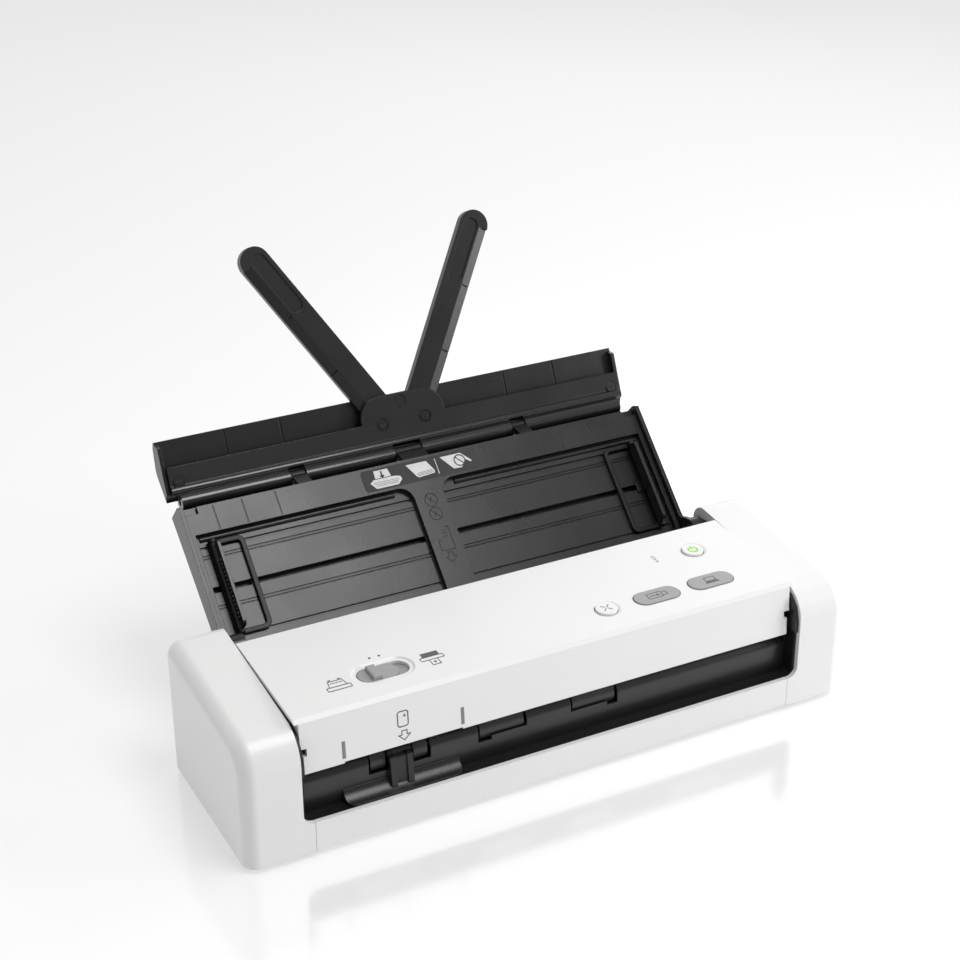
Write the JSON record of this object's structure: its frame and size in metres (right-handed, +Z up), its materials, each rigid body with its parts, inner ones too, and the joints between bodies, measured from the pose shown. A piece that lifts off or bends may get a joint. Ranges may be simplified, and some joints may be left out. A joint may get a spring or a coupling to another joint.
{
  "type": "sheet fed document scanner",
  "caption": "White desktop sheet fed document scanner with a folding black feed tray, fold-out paper support arms, sliding document guides and a hinged front control cover",
  "frame": {"origin": "centre of the bounding box in plan, on the surface the scanner rests on", "axes": "X across the machine to the operator's right, -Y to the front where sheets come out, +Z up"},
  "size_m": [0.3, 0.2038, 0.196],
  "materials": {
    "white_cover": "satin white moulding",
    "black_plastic": "fine textured black moulding",
    "lid_black": "satin black moulding",
    "steel": "bare steel",
    "screw_cap": "black screw heads",
    "rubber": "matte rubber",
    "grey_plastic": "satin grey keys",
    "nylon": "natural nylon",
    "glass": "clear glass",
    "circuit_board": "solder mask"
  },
  "bodies": {
    "base": {"bottom_cover": "white_cover", "right_side_cover": "white_cover", "left_side_cover": "white_cover", "rear_cover": "white_cover", "rubber_feet": "rubber", "case_screws": "steel", "exit_liner": "black_plastic", "lower_paper_guide": "black_plastic", "feed_chute": "black_plastic", "right_side_frame": "black_plastic", "left_side_frame": "black_plastic", "card_guide": "black_plastic", "lower_scan_module": "black_plastic", "lower_scan_glass": "glass", "main_board": "circuit_board", "usb_sockets": "steel", "drive_motor": "steel", "gear_posts": "steel", "hinge_pins": "black_plastic"},
    "eject_roller": {"eject_shaft": "steel", "eject_rollers": "rubber", "eject_gear": "nylon"},
    "feed_roller": {"feed_shaft": "steel", "feed_rollers": "rubber", "feed_gear": "nylon"},
    "pickup_roller": {"pickup_shaft": "steel", "pickup_hub": "nylon", "pickup_tyre": "rubber", "pickup_gear": "nylon"},
    "front_idler": {"front_idler_gear": "nylon"},
    "rear_idler": {"rear_idler_gear": "nylon"},
    "motor_shaft": {"motor_pinion": "nylon"},
    "front_cover": {"top_panel": "white_cover", "upper_paper_guide": "black_plastic", "upper_scan_module": "black_plastic", "upper_scan_glass": "glass", "separation_pad": "rubber", "separation_pad_holder": "black_plastic", "separation_spring": "steel", "control_board": "circuit_board"},
    "upper_eject_rollers": {"upper_eject_rollers": "nylon"},
    "upper_feed_rollers": {"upper_feed_rollers": "nylon"},
    "power_button": {"power_button": "white_cover"},
    "stop_button": {"stop_button": "white_cover"},
    "usb_button": {"usb_button": "grey_plastic"},
    "pc_button": {"pc_button": "grey_plastic"},
    "mode_selector": {"mode_selector": "grey_plastic"},
    "lid": {"lid_outer_shell": "lid_black", "lid_inner_tray": "lid_black", "flap_hinge_rod": "steel"},
    "guide_pinion": {"guide_pinion": "nylon"},
    "left_guide": {"left_guide_carriage": "lid_black"},
    "right_guide": {"right_guide_carriage": "lid_black"},
    "left_guide_plate": {"left_guide_plate": "lid_black"},
    "right_guide_plate": {"right_guide_plate": "lid_black"},
    "flap": {"flap_outer_shell": "lid_black", "flap_front_plate": "lid_black", "flap_screws": "screw_cap"},
    "left_support_arm": {"left_support_arm": "lid_black"},
    "right_support_arm": {"right_support_arm": "lid_black"}
  },
  "joints": [
    {"name": "eject_roller_turn", "type": "hinge", "parent": "base", "child": "eject_roller", "pos_m": [0, -0.086, 0.0295], "axis": [1, 0, 0], "continuous": true},
    {"name": "feed_roller_turn", "type": "hinge", "parent": "base", "child": "feed_roller", "pos_m": [0, -0.0525, 0.0304], "axis": [1, 0, 0], "continuous": true},
    {"name": "pickup_roller_turn", "type": "hinge", "parent": "base", "child": "pickup_roller", "pos_m": [0, -0.0325, 0.0244], "axis": [1, 0, 0], "continuous": true},
    {"name": "front_idler_turn", "type": "hinge", "parent": "base", "child": "front_idler", "pos_m": [0, -0.06933, 0.03282], "axis": [1, 0, 0], "continuous": true},
    {"name": "rear_idler_turn", "type": "hinge", "parent": "base", "child": "rear_idler", "pos_m": [0, -0.04473, 0.01998], "axis": [1, 0, 0], "continuous": true},
    {"name": "motor_shaft_turn", "type": "hinge", "parent": "base", "child": "motor_shaft", "pos_m": [0, -0.06933, 0.01882], "axis": [1, 0, 0], "continuous": true},
    {"name": "front_cover_open", "type": "hinge", "parent": "base", "child": "front_cover", "pos_m": [0, -0.0925, 0.043], "axis": [-1, 0, 0], "range_deg": [-60, 0]},
    {"name": "upper_eject_turn", "type": "hinge", "parent": "front_cover", "child": "upper_eject_rollers", "pos_m": [0, -0.086, 0.03925], "axis": [1, 0, 0], "continuous": true},
    {"name": "upper_feed_turn", "type": "hinge", "parent": "front_cover", "child": "upper_feed_rollers", "pos_m": [0, -0.0525, 0.03925], "axis": [1, 0, 0], "continuous": true},
    {"name": "power_button_press", "type": "slide", "parent": "front_cover", "child": "power_button", "axis": [0, 0.0451, -0.999], "range_m": [0, 0.0008], "stiffness_N_per_m": 300},
    {"name": "stop_button_press", "type": "slide", "parent": "front_cover", "child": "stop_button", "axis": [0, 0.0451, -0.999], "range_m": [0, 0.0008], "stiffness_N_per_m": 300},
    {"name": "usb_button_press", "type": "slide", "parent": "front_cover", "child": "usb_button", "axis": [0, 0.0451, -0.999], "range_m": [0, 0.0008], "stiffness_N_per_m": 300},
    {"name": "pc_button_press", "type": "slide", "parent": "front_cover", "child": "pc_button", "axis": [0, 0.0451, -0.999], "range_m": [0, 0.0008], "stiffness_N_per_m": 300},
    {"name": "mode_selector_slide", "type": "slide", "parent": "front_cover", "child": "mode_selector", "axis": [1, 0, 0], "range_m": [0, 0.0045]},
    {"name": "lid_fold", "type": "hinge", "parent": "base", "child": "lid", "pos_m": [0, -0.0195, 0.0575], "axis": [1, 0, 0], "range_deg": [0, 138]},
    {"name": "left_guide_slide", "type": "slide", "parent": "lid", "child": "left_guide", "axis": [1, 0, 0], "range_m": [0, 0.082]},
    {"name": "right_guide_slide", "type": "slide", "parent": "lid", "child": "right_guide", "axis": [-1, 0, 0], "range_m": [0, 0.082]},
    {"name": "guide_pinion_turn", "type": "hinge", "parent": "lid", "child": "guide_pinion", "pos_m": [0, 0.01611, 0.06689], "axis": [0, -0.6884, 0.7254], "continuous": true},
    {"name": "flap_fold", "type": "hinge", "parent": "lid", "child": "flap", "pos_m": [0, 0.05224, 0.09594], "axis": [1, 0, 0], "range_deg": [0, 66]},
    {"name": "left_arm_fold", "type": "hinge", "parent": "flap", "child": "left_support_arm", "pos_m": [-0.01135, 0.06354, 0.10804], "axis": [0, -0.9135, 0.4067], "range_deg": [0, 59.5]},
    {"name": "right_arm_fold", "type": "hinge", "parent": "flap", "child": "right_support_arm", "pos_m": [0.01135, 0.06354, 0.10804], "axis": [0, 0.9135, -0.4067], "range_deg": [0, 59.5]},
    {"name": "left_plate_fold", "type": "hinge", "parent": "left_guide", "child": "left_guide_plate", "pos_m": [-0.1111, 0.01236, 0.07085], "axis": [0, 0.7254, 0.6884], "range_deg": [0, 85]},
    {"name": "right_plate_fold", "type": "hinge", "parent": "right_guide", "child": "right_guide_plate", "pos_m": [0.1111, 0.01236, 0.07085], "axis": [0, -0.7254, -0.6884], "range_deg": [0, 85]}
  ],
  "couplings": [
    {"joint": "eject_roller_turn", "follows": "feed_roller_turn", "ratio": 1},
    {"joint": "pickup_roller_turn", "follows": "feed_roller_turn", "ratio": 1},
    {"joint": "front_idler_turn", "follows": "feed_roller_turn", "ratio": -0.88889},
    {"joint": "rear_idler_turn", "follows": "feed_roller_turn", "ratio": -1.6},
    {"joint": "motor_shaft_turn", "follows": "feed_roller_turn", "ratio": 1.6},
    {"joint": "upper_eject_turn", "follows": "feed_roller_turn", "ratio": -1.6857},
    {"joint": "upper_feed_turn", "follows": "feed_roller_turn", "ratio": -1.4286},
    {"joint": "right_guide_slide", "follows": "left_guide_slide", "ratio": 1},
    {"joint": "guide_pinion_turn", "follows": "left_guide_slide", "rad_per_m": -200},
    {"joint": "left_plate_fold", "follows": "lid_fold", "ratio": 0.61594},
    {"joint": "right_plate_fold", "follows": "lid_fold", "ratio": 0.61594}
  ]
}
